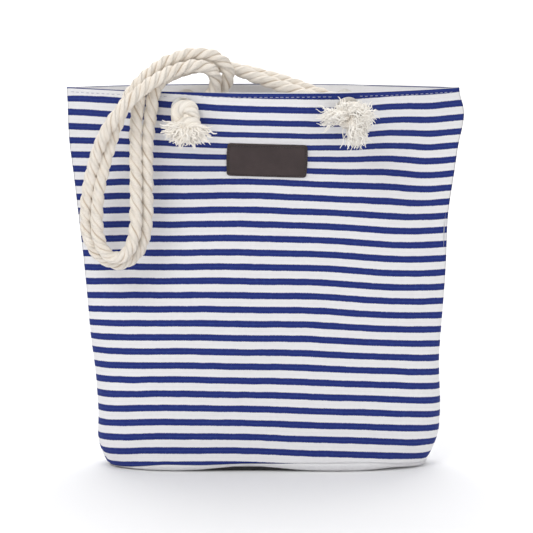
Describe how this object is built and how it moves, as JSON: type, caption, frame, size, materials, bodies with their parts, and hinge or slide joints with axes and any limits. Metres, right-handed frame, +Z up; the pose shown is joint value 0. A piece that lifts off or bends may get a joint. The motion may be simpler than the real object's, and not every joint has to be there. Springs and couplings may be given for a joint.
{
  "type": "beach bag",
  "caption": "Tall striped canvas beach tote with a white base, leather label and knotted rope handles that swing over the front.",
  "frame": {"origin": "middle of the base, on the surface that the bag stands on", "axes": "+X along the bag to the right seen from the front, -Y out of the front panel with the label, +Z up"},
  "size_m": [0.4202, 0.149, 0.4481],
  "materials": {
    "striped_canvas": "plain weave cotton canvas, navy and white stripes",
    "white_canvas": "white cotton canvas",
    "lining_cloth": "thin white lining",
    "board": "stiff polyethylene sheet",
    "thread": "white sewing thread",
    "label_thread": "dark brown sewing thread",
    "leather": "dark brown leather, fine grain",
    "eyelet_metal": "satin nickel plate",
    "rope_cotton": "natural laid cotton rope"
  },
  "bodies": {
    "bag": {"front_panel": "striped_canvas", "back_panel": "striped_canvas", "front_facing": "white_canvas", "back_facing": "white_canvas", "lining_walls": "lining_cloth", "lining_floor": "lining_cloth", "base_panel": "white_canvas", "base_board": "board", "hem_stitching": "thread", "leather_label": "leather", "label_stitching": "label_thread", "front_left_eyelet": "eyelet_metal", "front_left_washer": "eyelet_metal", "front_left_knot": "rope_cotton", "front_left_tassel": "rope_cotton", "front_right_eyelet": "eyelet_metal", "front_right_washer": "eyelet_metal", "front_right_knot": "rope_cotton", "front_right_tassel": "rope_cotton", "back_left_eyelet": "eyelet_metal", "back_left_washer": "eyelet_metal", "back_left_knot": "rope_cotton", "back_left_tassel": "rope_cotton", "back_right_eyelet": "eyelet_metal", "back_right_washer": "eyelet_metal", "back_right_knot": "rope_cotton", "back_right_tassel": "rope_cotton", "front_handle_left_arm": "rope_cotton", "front_handle_right_arm": "rope_cotton", "back_handle_left_arm": "rope_cotton", "back_handle_right_arm": "rope_cotton"},
    "front_handle": {"front_handle_loop": "rope_cotton"},
    "back_handle": {"back_handle_loop": "rope_cotton"}
  },
  "joints": [
    {"name": "front_handle_swing", "type": "hinge", "parent": "bag", "child": "front_handle", "pos_m": [-0.13, -0.04, 0.404], "axis": [-1, 0, 0], "range_deg": [0, 95], "deforming": ["front_handle_left_arm", "front_handle_right_arm"]},
    {"name": "back_handle_swing", "type": "hinge", "parent": "bag", "child": "back_handle", "pos_m": [-0.13, -0.04, 0.404], "axis": [-1, 0, 0], "range_deg": [0, 95], "deforming": ["back_handle_left_arm", "back_handle_right_arm"]}
  ],
  "couplings": [
    {"joint": "back_handle_swing", "follows": "front_handle_swing", "ratio": 1}
  ]
}
